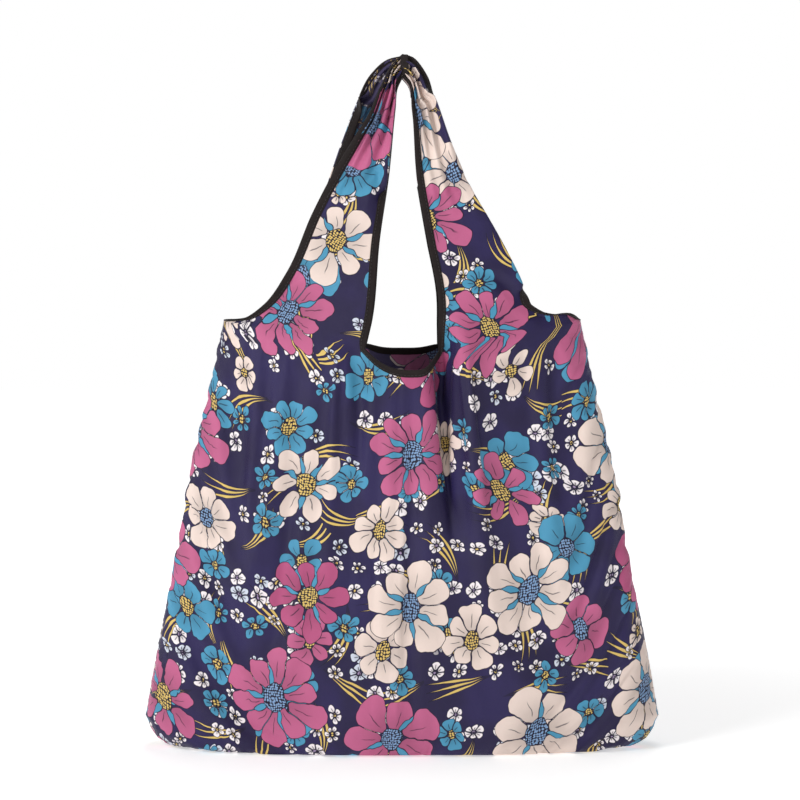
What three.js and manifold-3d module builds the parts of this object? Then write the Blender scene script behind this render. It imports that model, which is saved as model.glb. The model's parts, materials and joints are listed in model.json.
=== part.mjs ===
// Foldable shopping bag of light printed polyester, open and upright, with its two handle hoops
// gathered together at the top and its storage pouch hanging inside the back panel.
// Millimetres, +Z up, the front towards -Y, the origin at the centre of the base.
import * as THREE from 'three';
import { mergeVertices } from 'three/addons/utils/BufferGeometryUtils.js';
import Module from 'manifold-3d';

const wasm = await Module();
wasm.setup();

// ---- Driving dimensions ----
const TOTAL_HEIGHT = 657;
const SHOULDER_HEIGHT = 407;
const BASE_HALF_WIDTH = 243;
const SHOULDER_HALF_WIDTH = 169;
const BASE_RADIUS = 30;
const BASE_FLAT_HALF_DEPTH = 30;
const NECK_HALF_WIDTH = 34;
const NECK_LOW = 357;
const NECK_HIGH = 382;
const HANDLE_OPENING_TOP = 636;
const HINGE_HEIGHT = 430;
const CLOTH = 1.6;
const GATHERED_CLOTH = 7;
const GATHER_START = 560;
const OUTER_BINDING = 7.5;
const NECK_BINDING = 6;
const BINDING_PROUD = 0.8;
const HANDLE_TAPE = 7;
const TAPE_THICKNESS = 1;
const SEAM_BINDING = 8;
const SEAM_BINDING_THICKNESS = 1.4;
const SEAM_ROWS = 6;
const GAP = 0.3;
const SECTION_POWER = 2.6;

const POUCH_WIDTH = 150;
const POUCH_HEIGHT = 125;
const POUCH_LAYER = 1;
const POUCH_POCKET = 6;
const POUCH_HEM = 18;
const POUCH_TOP = 331;
const POUCH_BACK_FACE = 56;
const POUCH_TAB = 17;
const POUCH_TAB_LEAN = 3;
const LOOP_LENGTH = 36;
const LOOP_WIDTH = 9;
const RIBBON_WIDTH = 5;
const RIBBON_THICKNESS = 1.2;

const COLUMNS = 24;
const WALL_ROWS = 17;
const BASE_ROWS = 3;
const CORNER_ROWS = 4;
const FAR = 400;

// ---- Materials ----
const printedCloth = (colour) => new THREE.MeshStandardMaterial({ color: colour, roughness: 0.6, metalness: 0 });
const FRONT_PRINT = printedCloth(0x3a2e5e);
const BACK_PRINT = printedCloth(0x352a57);
const POUCH_PRINT = printedCloth(0x40346a);
const BLACK_BINDING = new THREE.MeshStandardMaterial({ color: 0x1c1214, roughness: 0.75, metalness: 0 });
const BROWN_RIBBON = new THREE.MeshStandardMaterial({ color: 0x2b1518, roughness: 0.5, metalness: 0 });

// ---- Small geometry tools ----
const smooth = (t) => t * t * (3 - 2 * t);
const ramp = (value, low, high) => smooth(THREE.MathUtils.clamp((value - low) / (high - low), 0, 1));

function closedGeometry(points, triangles) {
  const geometry = new THREE.BufferGeometry();
  geometry.setAttribute('position', new THREE.Float32BufferAttribute(points.flat(), 3));
  geometry.setIndex(triangles.flat());
  return geometry;
}

function solid(geometry) {
  const bare = geometry.clone();
  bare.deleteAttribute('normal');
  bare.deleteAttribute('uv');
  const merged = mergeVertices(bare, 1e-4);
  return new wasm.Manifold(new wasm.Mesh({
    numProp: 3,
    vertProperties: Float32Array.from(merged.attributes.position.array),
    triVerts: Uint32Array.from(merged.index.array),
  }));
}

function geometryOf(manifold) {
  const mesh = manifold.getMesh();
  const geometry = new THREE.BufferGeometry();
  geometry.setAttribute('position', new THREE.BufferAttribute(mesh.vertProperties, mesh.numProp));
  geometry.setIndex(new THREE.BufferAttribute(mesh.triVerts, 1));
  return geometry;
}

function box(low, high) {
  const size = high.map((value, axis) => value - low[axis]);
  const geometry = new THREE.BoxGeometry(...size);
  geometry.translate(...low.map((value, axis) => value + size[axis] / 2));
  return geometry;
}

// An outline in the X-Z plane, extruded forwards from the bag's middle plane.
function prism(outline) {
  const geometry = new THREE.ExtrudeGeometry(new THREE.Shape(outline), { depth: FAR, bevelEnabled: false });
  geometry.rotateX(Math.PI / 2);
  return solid(geometry);
}

// ---- The bag's surface: a lofted half shell ----
const wallHalfDepth = new THREE.SplineCurve([
  new THREE.Vector2(BASE_RADIUS, BASE_FLAT_HALF_DEPTH + BASE_RADIUS),
  new THREE.Vector2(180, 76),
  new THREE.Vector2(330, 68),
  new THREE.Vector2(HINGE_HEIGHT, 52),
  new THREE.Vector2(GATHER_START, 26),
  new THREE.Vector2(TOTAL_HEIGHT, 10),
]);

function clothThickness(height) {
  return CLOTH + (GATHERED_CLOTH - CLOTH) * ramp(height, GATHER_START, TOTAL_HEIGHT);
}

function wallHalfWidth(height) {
  const share = (height - BASE_RADIUS) / (SHOULDER_HEIGHT - BASE_RADIUS);
  return THREE.MathUtils.lerp(BASE_HALF_WIDTH, SHOULDER_HALF_WIDTH, share);
}

// Every station of the loft: its half width, half depth, height and outward direction.
function stations() {
  const rows = [];
  for (let k = 0; k < BASE_ROWS; k += 1) {
    const share = k / BASE_ROWS;
    const halfWidth = BASE_HALF_WIDTH - BASE_RADIUS - (1 - share) * BASE_FLAT_HALF_DEPTH * 0.6;
    rows.push({ halfWidth, halfDepth: share * BASE_FLAT_HALF_DEPTH, z: 0, side: 0, up: -1 });
  }
  for (let k = 0; k < CORNER_ROWS; k += 1) {
    const turn = (k / CORNER_ROWS) * Math.PI / 2;
    const out = BASE_RADIUS * Math.sin(turn);
    rows.push({
      halfWidth: BASE_HALF_WIDTH - BASE_RADIUS + out,
      halfDepth: BASE_FLAT_HALF_DEPTH + out,
      z: BASE_RADIUS * (1 - Math.cos(turn)),
      side: Math.sin(turn),
      up: -Math.cos(turn),
    });
  }
  for (let k = 0; k <= WALL_ROWS; k += 1) {
    const at = wallHalfDepth.getPointAt(k / WALL_ROWS);
    const top = k === WALL_ROWS ? TOTAL_HEIGHT + 5 : at.x;
    rows.push({ halfWidth: wallHalfWidth(top), halfDepth: at.y, z: top, side: 1, up: 0 });
  }
  return rows;
}

function ringPoint(row, column, outward) {
  const turn = ((column / COLUMNS) - 0.5) * Math.PI;
  const across = Math.sign(Math.sin(turn)) * Math.abs(Math.sin(turn)) ** (2 / SECTION_POWER);
  const along = Math.abs(Math.cos(turn)) ** (2 / SECTION_POWER);
  const halfWidth = row.halfWidth + outward * row.side;
  const halfDepth = Math.max(row.halfDepth + outward * row.side, 0);
  return [halfWidth * across, -halfDepth * along - GAP / 2, row.z + outward * row.up];
}

// The front half of the bag's skin between two faces, given as distances outward of the cloth's outer
// and inner faces.
function frontShell(outerExtra, innerExtra) {
  const rows = stations();
  const points = [];
  rows.forEach((row) => {
    for (let column = 0; column <= COLUMNS; column += 1) {
      points.push(ringPoint(row, column, outerExtra));
      points.push(ringPoint(row, column, innerExtra - clothThickness(row.z)));
    }
  });
  const at = (row, column, face) => 2 * (row * (COLUMNS + 1) + column) + face;
  const triangles = [];
  const quad = (a, b, c, d) => triangles.push([a, b, c], [a, c, d]);
  const last = rows.length - 1;
  for (let row = 0; row < last; row += 1) {
    for (let column = 0; column < COLUMNS; column += 1) {
      quad(at(row, column, 0), at(row, column + 1, 0), at(row + 1, column + 1, 0), at(row + 1, column, 0));
      quad(at(row, column, 1), at(row + 1, column, 1), at(row + 1, column + 1, 1), at(row, column + 1, 1));
    }
    quad(at(row, 0, 0), at(row + 1, 0, 0), at(row + 1, 0, 1), at(row, 0, 1));
    quad(at(row, COLUMNS, 0), at(row, COLUMNS, 1), at(row + 1, COLUMNS, 1), at(row + 1, COLUMNS, 0));
  }
  for (let column = 0; column < COLUMNS; column += 1) {
    quad(at(0, column, 0), at(0, column, 1), at(0, column + 1, 1), at(0, column + 1, 0));
    quad(at(last, column, 0), at(last, column + 1, 0), at(last, column + 1, 1), at(last, column, 1));
  }
  return solid(closedGeometry(points, triangles));
}

// ---- Outlines of the cut edge, seen from the front ----
const CURVE_POINTS = 7;
const plane = (x, z) => new THREE.Vector2(x, z);

function pathPoints(curves) {
  const path = new THREE.CurvePath();
  curves.forEach((corners) => path.add(new THREE.CubicBezierCurve(...corners)));
  return path.getPoints(CURVE_POINTS);
}

// From the top of the right side seam, over the shoulder and up the strap to the middle of the handle.
const outerEdge = pathPoints([
  [plane(SHOULDER_HALF_WIDTH, SHOULDER_HEIGHT), plane(146, 411), plane(124, 424), plane(112, 446)],
  [plane(112, 446), plane(97, 474), plane(62, 570), plane(43, 615)],
  [plane(43, 615), plane(33, 643), plane(17, TOTAL_HEIGHT), plane(0, TOTAL_HEIGHT)],
]);

// From the middle of the neckline, round its corner and up the strap to the middle of the handle.
const innerEdge = pathPoints([
  [plane(0, NECK_LOW), plane(19, NECK_LOW), plane(31, 368), plane(NECK_HALF_WIDTH, NECK_HIGH)],
  [plane(NECK_HALF_WIDTH, NECK_HIGH), plane(30, 440), plane(12, 578), plane(6, 622)],
  [plane(6, 622), plane(5, 632), plane(3, HANDLE_OPENING_TOP), plane(0, HANDLE_OPENING_TOP)],
]);

// The same edge moved sideways, to the left of its direction of travel.
function moved(points, distance) {
  return points.map((point, k) => {
    const before = points[Math.max(k - 1, 0)];
    const after = points[Math.min(k + 1, points.length - 1)];
    const along = after.clone().sub(before).normalize();
    const place = plane(point.x - along.y * distance, point.y + along.x * distance);
    if (k === points.length - 1) place.x = 0;
    return place;
  });
}

const mirrored = (points) => points.map((point) => plane(-point.x, point.y)).reverse();

// Everything inside the outer edge, drawn in by a margin.
function insideOuterEdge(margin) {
  const edge = moved(outerEdge, margin);
  const start = edge[0].y;
  const right = [plane(FAR, -FAR), plane(FAR, start), ...edge];
  return prism([...right, ...mirrored(right).slice(1)]);
}

// The neck and handle opening, widened by a margin.
function handleOpening(margin) {
  const edge = moved(innerEdge, -margin);
  edge[0].x = 0;
  return prism([...edge, ...mirrored(edge).slice(1, -1)]);
}

// ---- Cutting pieces out of the shell ----
const below = solid(box([-FAR, -FAR, -FAR], [FAR, FAR, HINGE_HEIGHT - GAP / 2]));
const above = solid(box([-FAR, -FAR, HINGE_HEIGHT + GAP / 2], [FAR, FAR, 2 * FAR]));
const leftHalf = solid(box([-FAR, -FAR, -FAR], [-GAP / 2, FAR, 2 * FAR]));
const rightHalf = solid(box([GAP / 2, -FAR, -FAR], [FAR, FAR, 2 * FAR]));

const clothShell = frontShell(0, 0);
const bindingShell = frontShell(BINDING_PROUD, -BINDING_PROUD);

const frontCloth = clothShell
  .intersect(insideOuterEdge(OUTER_BINDING + GAP))
  .subtract(handleOpening(NECK_BINDING + GAP));
const frontOuterBinding = bindingShell
  .intersect(insideOuterEdge(0))
  .subtract(insideOuterEdge(OUTER_BINDING));
const frontNeckBinding = bindingShell
  .intersect(handleOpening(NECK_BINDING))
  .subtract(handleOpening(0));

const frontHandleCloth = frontCloth.intersect(above);

// The tape that covers the seam where the two straps meet, lying on the outside of the handle.
function handleTape() {
  const half = HANDLE_TAPE / 2;
  const innerSkin = BINDING_PROUD + GAP;
  const skin = frontShell(innerSkin + TAPE_THICKNESS, 0).subtract(frontShell(innerSkin, -TAPE_THICKNESS));
  return skin.intersect(solid(box([-half, -FAR, HANDLE_OPENING_TOP], [half, 0, TOTAL_HEIGHT])));
}

// One side of the bag, cut once for the front and turned half a circle for the back.
const FACE_PIECES = {
  body_panel: { shape: frontCloth.intersect(below), cloth: true },
  neck_binding: { shape: frontNeckBinding.intersect(below) },
  left_shoulder_binding: { shape: frontOuterBinding.intersect(below).intersect(leftHalf) },
  right_shoulder_binding: { shape: frontOuterBinding.intersect(below).intersect(rightHalf) },
  left_strap: { shape: frontHandleCloth.intersect(leftHalf), cloth: true },
  right_strap: { shape: frontHandleCloth.intersect(rightHalf), cloth: true },
  handle_outer_binding: { shape: frontOuterBinding.intersect(above) },
  handle_inner_binding: { shape: frontNeckBinding.intersect(above) },
  handle_tape: { shape: handleTape() },
};

// ---- Assembly ----
const bag = new THREE.Group();

function addPiece(name, geometry, material, parent = bag) {
  const mesh = new THREE.Mesh(geometry, material);
  mesh.name = name;
  parent.add(mesh);
}

function addFace(face, print, turn) {
  const group = new THREE.Group();
  group.rotation.z = turn;
  bag.add(group);
  const otherSide = { left: 'right', right: 'left' };
  Object.entries(FACE_PIECES).forEach(([piece, { shape, cloth }]) => {
    const placed = turn ? piece.replace(/^(left|right)/, (side) => otherSide[side]) : piece;
    addPiece(`${face}_${placed}`, geometryOf(shape), cloth ? print : BLACK_BINDING, group);
  });
}

// Black tape folded over the raw edges of the two side seams, inside the bag.
function addSideSeam(name, side) {
  const low = BASE_RADIUS + SEAM_BINDING;
  const high = SHOULDER_HEIGHT - OUTER_BINDING - 2;
  const rows = [];
  for (let k = 0; k <= SEAM_ROWS; k += 1) {
    rows.push(THREE.MathUtils.lerp(low, high, k / SEAM_ROWS));
  }
  const clearOfCloth = CLOTH + 3 * GAP;
  const points = rows.flatMap((z) => {
    const outer = wallHalfWidth(z) - clearOfCloth;
    const inner = outer - SEAM_BINDING_THICKNESS;
    return [[inner, -SEAM_BINDING / 2, z], [outer, -SEAM_BINDING / 2, z],
      [outer, SEAM_BINDING / 2, z], [inner, SEAM_BINDING / 2, z]];
  });
  const last = 4 * (rows.length - 1);
  const triangles = [[0, 2, 1], [0, 3, 2], [last, last + 1, last + 2], [last, last + 2, last + 3]];
  for (let row = 0; row < last; row += 4) {
    for (let k = 0; k < 4; k += 1) {
      const next = (k + 1) % 4;
      triangles.push([row + k, row + next, row + 4 + next], [row + k, row + 4 + next, row + 4 + k]);
    }
  }
  const group = new THREE.Group();
  group.rotation.z = side > 0 ? 0 : Math.PI;
  bag.add(group);
  addPiece(name, closedGeometry(points, triangles), BLACK_BINDING, group);
}

function addBaseSeam() {
  const halfLength = BASE_HALF_WIDTH - BASE_RADIUS - BASE_FLAT_HALF_DEPTH;
  const low = CLOTH + GAP;
  addPiece('base_seam_binding', box(
    [-halfLength, -SEAM_BINDING / 2, low],
    [halfLength, SEAM_BINDING / 2, low + SEAM_BINDING_THICKNESS],
  ), BLACK_BINDING);
}

// The cloth tab that joins the pouch's top edge to the inside of the back panel.
function addPouchTab() {
  const foot = plane(POUCH_BACK_FACE + 1, POUCH_TOP + 2);
  const head = plane(foot.x + POUCH_TAB_LEAN, foot.y + POUCH_TAB);
  const outline = [foot, plane(foot.x + TAPE_THICKNESS, foot.y), plane(head.x + TAPE_THICKNESS, head.y), head];
  const geometry = new THREE.ExtrudeGeometry(new THREE.Shape(outline), { depth: POUCH_WIDTH, bevelEnabled: false });
  geometry.rotateX(Math.PI / 2);
  geometry.rotateZ(Math.PI / 2);
  geometry.translate(-POUCH_WIDTH / 2, 0, 0);
  addPiece('pouch_tab', geometry, BLACK_BINDING);
}

// A flat pocket, open at the top: a back layer, a front layer with its sewn sides, and a hem.
function addPouch() {
  const half = POUCH_WIDTH / 2;
  const low = POUCH_TOP - POUCH_HEIGHT;
  const backInner = POUCH_BACK_FACE - POUCH_LAYER;
  const frontInner = backInner - POUCH_POCKET;
  const frontOuter = frontInner - POUCH_LAYER;
  addPiece('pouch_back_layer', box([-half, backInner, low], [half, POUCH_BACK_FACE, POUCH_TOP]), POUCH_PRINT);

  const block = solid(box([-half, frontOuter, low], [half, backInner - GAP, POUCH_TOP]));
  const pocket = solid(box(
    [-half + POUCH_LAYER, frontInner, low + POUCH_LAYER],
    [half - POUCH_LAYER, FAR, POUCH_TOP + POUCH_HEIGHT],
  ));
  addPiece('pouch_front_layer', geometryOf(block.subtract(pocket)), POUCH_PRINT);

  addPiece('pouch_hem', box(
    [-half, frontOuter - GAP - POUCH_LAYER, POUCH_TOP - POUCH_HEM],
    [half, frontOuter - GAP, POUCH_TOP],
  ), POUCH_PRINT);
}

// A narrow ribbon folded into a loop, hanging from the pouch's top corner.
function addHangLoop() {
  const radius = LOOP_WIDTH / 2;
  const middle = POUCH_WIDTH / 2 + 2 * GAP + radius;
  const top = POUCH_TOP - 1;
  const slot = (target, inset) => {
    const r = radius - inset;
    target.moveTo(middle - r, top - inset);
    target.lineTo(middle - r, top - LOOP_LENGTH + radius);
    target.absarc(middle, top - LOOP_LENGTH + radius, r, Math.PI, 2 * Math.PI, false);
    target.lineTo(middle + r, top - inset);
    target.closePath();
    return target;
  };
  const outline = slot(new THREE.Shape(), 0);
  outline.holes.push(slot(new THREE.Path(), RIBBON_THICKNESS));
  const geometry = new THREE.ExtrudeGeometry(outline, {
    depth: RIBBON_WIDTH, bevelEnabled: false, curveSegments: 8,
  });
  geometry.rotateX(Math.PI / 2);
  geometry.translate(0, POUCH_BACK_FACE - 3 * POUCH_LAYER, 0);
  addPiece('hang_loop', geometry, BROWN_RIBBON);
}

addFace('front', FRONT_PRINT, 0);
addFace('back', BACK_PRINT, Math.PI);
addSideSeam('left_seam_binding', -1);
addSideSeam('right_seam_binding', 1);
addBaseSeam();
addPouchTab();
addPouch();
addHangLoop();

export default bag;
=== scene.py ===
"""Foldable shopping bag of printed polyester, standing open with its two handle hoops gathered at the top.

Metres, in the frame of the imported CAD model: +Z up, front towards -Y. Each face of the bag is one sheet of
cloth, body and straps together. The print lies on the flat cut cloth, so it keeps its size on the folds.
"""
import json
import math

import bmesh
import bpy
import numpy as np
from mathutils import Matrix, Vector


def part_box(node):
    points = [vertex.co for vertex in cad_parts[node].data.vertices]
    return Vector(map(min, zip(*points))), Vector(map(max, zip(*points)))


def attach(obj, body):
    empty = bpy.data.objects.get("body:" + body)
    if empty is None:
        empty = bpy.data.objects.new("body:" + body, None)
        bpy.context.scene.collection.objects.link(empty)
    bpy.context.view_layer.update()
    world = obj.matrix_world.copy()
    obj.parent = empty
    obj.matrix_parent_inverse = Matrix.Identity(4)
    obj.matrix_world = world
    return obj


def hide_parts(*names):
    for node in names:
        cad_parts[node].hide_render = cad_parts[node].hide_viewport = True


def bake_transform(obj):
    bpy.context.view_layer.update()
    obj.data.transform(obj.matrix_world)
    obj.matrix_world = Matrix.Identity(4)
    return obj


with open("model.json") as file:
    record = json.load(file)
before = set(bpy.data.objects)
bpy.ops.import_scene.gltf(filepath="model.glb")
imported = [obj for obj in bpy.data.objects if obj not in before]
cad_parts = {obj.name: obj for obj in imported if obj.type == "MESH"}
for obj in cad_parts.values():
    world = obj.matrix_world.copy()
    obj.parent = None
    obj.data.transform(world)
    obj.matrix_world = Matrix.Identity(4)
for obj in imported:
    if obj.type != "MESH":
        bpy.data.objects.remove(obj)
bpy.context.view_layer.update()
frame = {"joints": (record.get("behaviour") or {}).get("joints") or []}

MM = 0.001

# ---- Driving dimensions: the first three from the frame, the others given ----
BASE_HALF_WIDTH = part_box("front_body_panel")[1].x
TOTAL_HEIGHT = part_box("front_handle_outer_binding")[1].z
HINGE_HEIGHT = next(j["pos_m"][2] for j in frame["joints"] if j["name"] == "front_handle_fold")
SHOULDER = (169 * MM, 407 * MM)
NECK_CORNER = (34 * MM, 382 * MM)
BASE_RADIUS = 30 * MM
BASE_HALF_DEPTH = 30 * MM
SECTION_POWER = 2.6

# ---- Cloth and tape ----
CLOTH = 0.4 * MM
BEND_REACH = 35 * MM
BACK_PRINT_SHIFT = np.array([0.31, 0.11])
TAPE_WIDTH = 8 * MM
NECK_TAPE_WIDTH = 6.5 * MM
TAPE_HEIGHT = 0.7 * MM
STITCH_PITCH = 3.4 * MM
STITCH_RADIUS = 0.3 * MM
STITCH_LIFT = 0.9 * TAPE_HEIGHT
SEAM_FIN = 8 * MM
SEAM_THICKNESS = 1.3 * MM
ROLL_START = 6 * MM
ROLL_END = 15 * MM
ROLL_TURN = 3.0
PLEAT = 5.0 * MM
FINE_PLEAT = 1.7 * MM
SIDE_RIPPLE = 0.7 * MM
HEM_RIPPLE = 0.6 * MM
SIDE_TUCK = 12 * MM
BASE_INSET = 18 * MM
WALL_FULLNESS = 0.047
RIBBON_WIDTH = 4.5 * MM

# ---- Grid of the cloth ----
NECK_COLUMNS = 24
STRAP_COLUMNS = 52
BASE_ROWS = 8
CORNER_ROWS = 8
WALL_ROWS = 84
STRAP_ROWS = 92

# ---- Simulation ----
SIM_FRAMES = 26
LEAST_HEIGHT = 0.2 * MM
CLOTH_SETTINGS = {
    "quality": 5, "mass": 0.12, "tension_stiffness": 20, "compression_stiffness": 12, "shear_stiffness": 6,
    "bending_stiffness": 0.12, "air_damping": 3, "shrink_min": -0.025, "pin_stiffness": 1,
}


def curve(at, knots):
    """A smooth curve through (place, value) knots, read at one or many places."""
    x, y = np.array(knots, float).T
    slope = np.gradient(y, x)
    at = np.clip(at, x[0], x[-1])
    k = np.clip(np.searchsorted(x, at) - 1, 0, len(x) - 2)
    step = x[k + 1] - x[k]
    t = (at - x[k]) / step
    start = (2 * t**3 - 3 * t**2 + 1) * y[k] + (t**3 - 2 * t**2 + t) * step * slope[k]
    end = (3 * t**2 - 2 * t**3) * y[k + 1] + (t**3 - t**2) * step * slope[k + 1]
    return start + end


def sums(steps):
    """Running sums of steps, from 0."""
    return np.concatenate([np.zeros_like(steps[:1]), np.cumsum(steps, axis=0)])


def unit(vectors):
    """Vectors made 1 long."""
    return vectors / np.linalg.norm(vectors, axis=-1, keepdims=True)


def run_length(line):
    """The distance along a line of points, at each point."""
    return sums(np.linalg.norm(np.diff(line, axis=0), axis=1))


def points_at(line, run, at):
    """The points of a line at the distances at along it. run has the distance of each of its own points."""
    return np.stack([np.interp(at, run, line[:, k]) for k in range(line.shape[1])], axis=-1)


def by_length(line, share):
    """The points at the given shares of a line's length."""
    run = run_length(line)
    return points_at(line, run, share * run[-1])


def outline(knots, count):
    """Evenly spaced points on a smooth line through knots given in millimetres."""
    knots = np.array(knots, float) * MM
    run = run_length(knots)
    fine = np.linspace(0, run[-1], 600)
    line = np.stack([curve(fine, np.stack([run, values], axis=1)) for values in knots.T], axis=1)
    return by_length(line, np.linspace(0, 1, count))


def ramp(value, low, high):
    """0 below low, 1 above high, smooth between."""
    t = np.clip((value - low) / (high - low), 0, 1)
    return t * t * (3 - 2 * t)


def hill(value, middle, reach):
    return np.exp(-((value - middle) / reach) ** 2)


# ---- The bag's hull ----
HALF_DEPTH = [(30 * MM, 60 * MM), (180 * MM, 76 * MM), (330 * MM, 68 * MM), (430 * MM, 52 * MM),
              (560 * MM, 26 * MM), (TOTAL_HEIGHT, 10 * MM)]


def half_width(height):
    """Half the hull's width, which narrows evenly from the base to the shoulders."""
    slope = (SHOULDER[0] - BASE_HALF_WIDTH) / (SHOULDER[1] - BASE_RADIUS)
    return BASE_HALF_WIDTH + slope * (np.maximum(height, BASE_RADIUS) - BASE_RADIUS)


def section(share):
    """The hull's depth at a share of its half width, as a share of its depth in the middle."""
    return (1 - np.abs(share) ** SECTION_POWER) ** (1 / SECTION_POWER)


def hull_depth(x, height):
    """How far the hull stands out from the middle plane, at a place seen from the front."""
    share = np.clip(np.abs(x) / half_width(height), 0, 0.9995)
    return curve(height, HALF_DEPTH) * section(share)


def hull_normal(side, x, height):
    """Outward direction of the hull."""
    small = 1 * MM
    across = (hull_depth(x + small, height) - hull_depth(x - small, height)) / (2 * small)
    up = (hull_depth(x, height + small) - hull_depth(x, height - small)) / (2 * small)
    return unit(np.stack([-np.clip(across, -3, 3), side * np.ones_like(across), -up], axis=-1))


# A fold: top x and z, bottom x and z, how far it stands out (in if negative), its reach to each side, in mm.
FRONT_FOLDS = [
    (36, 398, 47, 190, -30, 8), (56, 394, 74, 180, 13, 12), (-42, 378, -34, 230, -9, 9),
    (-62, 380, -60, 220, 5, 14), (-24, 560, -14, 470, -5, 5), (-120, 372, -150, 120, 4, 26),
    (128, 360, 168, 110, 4, 24), (2, 300, -8, 60, 3, 34), (96, 330, 112, 130, -4, 22),
    (-84, 330, -96, 90, -3, 24),
    (-190, 250, -206, 40, -3, 16), (196, 230, 214, 50, -3, 16), (86, 452, 132, 404, -4, 8),
    (-96, 450, -136, 402, -4, 9), (66, 550, 40, 520, -6, 7), (58, 535, 34, 505, 4, 6),
]
BACK_FOLDS = [
    (-42, 386, -60, 190, 9, 12), (58, 378, 84, 150, 8, 15), (-8, 300, -2, 90, 4, 20),
    (150, 378, 162, 200, -6, 11), (140, 360, 172, 100, 4, 24), (-140, 350, -170, 90, 4, 24),
    (30, 556, 22, 460, -4, 6),
    (104, 450, 140, 404, -4, 8), (-100, 452, -138, 404, -4, 8),
]


def drape(side, x, height):
    """How far the cloth stands out from the hull: hanging folds, and ripples where it is sewn to tape."""
    out = np.zeros(np.broadcast(x, height).shape)
    for top_x, top_z, low_x, low_z, stand, reach in (FRONT_FOLDS if side < 0 else BACK_FOLDS):
        down = (top_z * MM - height) / ((top_z - low_z) * MM)
        middle = (top_x + (low_x - top_x) * np.clip(down, 0, 1)) * MM
        fade = ramp(down, -0.12, 0.18) * (1 - ramp(down, 0.45, 1.1))
        out += stand * MM * fade * hill(x, middle, reach * MM * (1 + 0.6 * np.clip(down, 0, 1)))
    edge = 1 - ramp(half_width(height) - np.abs(x), 4 * MM, 30 * MM)
    ripple = np.sin(height / (5.3 * MM) + side) + 0.7 * np.sin(height / (3.1 * MM) + 2 * side)
    low_edge = (1 - ramp(height, 20 * MM, 62 * MM)) * np.sin(x / (7.1 * MM) + 1.7 * np.sin(x / (31 * MM)))
    return out + SIDE_RIPPLE * edge * ripple * ramp(height, 30 * MM, 60 * MM) + HEM_RIPPLE * low_edge


# ---- The cloth of one face ----
def root_height(side, x):
    """Height of the line where the body ends: the neckline in the middle, the shoulder line outside it."""
    slope = (SHOULDER[1] - NECK_CORNER[1]) / (SHOULDER[0] - NECK_CORNER[0])
    shoulder = NECK_CORNER[1] + slope * (np.abs(x) - NECK_CORNER[0])
    scooped = [(-34, 382), (-22, 371), (-8, 364), (8, 362), (22, 365), (34, 382)]
    level = [(-34, 382), (-17, 378.5), (0, 378), (17, 378.5), (34, 382)]
    neck = curve(x, np.array(scooped if side < 0 else level) * MM)
    return np.where(np.abs(x) < NECK_CORNER[0], neck, shoulder)


def segments():
    """Shares of the half width on the left strap's, the neck's and the right strap's part of a row."""
    neck = NECK_CORNER[0] / half_width(NECK_CORNER[1])
    out = neck + (1 - neck) * np.sin(np.linspace(0, 0.5, 500) * np.pi)
    return (-out[::-1], STRAP_COLUMNS), (np.linspace(-neck, neck, 200), NECK_COLUMNS), (out, STRAP_COLUMNS)


def row_of(place):
    """A row of cloth, evenly spaced in each part. place turns shares of the half width into points."""
    parts = [by_length(place(share), np.linspace(0, 1, count + 1)) for share, count in segments()]
    return np.concatenate([parts[0], parts[1][1:], parts[2][1:]])


def body_grid(side):
    """The body from the base seam up to the neckline and the shoulder line."""
    def base(share, part):
        wide = BASE_HALF_WIDTH - BASE_RADIUS - BASE_INSET * (1 - part)
        deep = BASE_HALF_DEPTH * part * section(share)
        return np.stack([wide * share, side * deep, np.zeros_like(share)], axis=1)

    def corner(share, part):
        turn = part * math.pi / 2
        wide = BASE_HALF_WIDTH - BASE_RADIUS * (1 - math.sin(turn))
        full = curve(BASE_RADIUS, HALF_DEPTH)
        deep = BASE_HALF_DEPTH + (full - BASE_HALF_DEPTH) * math.sin(turn)
        height = BASE_RADIUS * (1 - math.cos(turn)) * np.ones_like(share)
        return np.stack([wide * share, side * (deep * section(share)), height], axis=1)

    def wall(share, part):
        height = np.full_like(share, 0.39)
        for _ in range(3):  # the top edge's height hangs on x, and x on the height
            top = root_height(side, share * half_width(height))
            height = BASE_RADIUS + part * (top - BASE_RADIUS)
        x = share * half_width(height)
        tuck = SIDE_TUCK * hill(height, 0.25, 0.12) * ramp(np.abs(share), 0.972, 1)
        point = np.stack([x, side * hull_depth(x, height), height], axis=1)
        point[:, 1] *= np.where(np.abs(share) >= 0.99999, 0, 1)
        stand = drape(side, x, height) * (1 - ramp(np.abs(share), 0.97, 1))
        point += hull_normal(side, x, height) * stand[:, None]
        point[:, 0] += x * WALL_FULLNESS * hill(height, 0.23, 0.16) - np.sign(x) * tuck
        return point

    rows = [row_of(lambda s: base(s, k / BASE_ROWS)) for k in range(BASE_ROWS)]
    rows += [row_of(lambda s: corner(s, k / CORNER_ROWS)) for k in range(CORNER_ROWS)]
    rows += [row_of(lambda s: wall(s, k / WALL_ROWS)) for k in range(WALL_ROWS + 1)]
    return np.array(rows)


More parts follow.
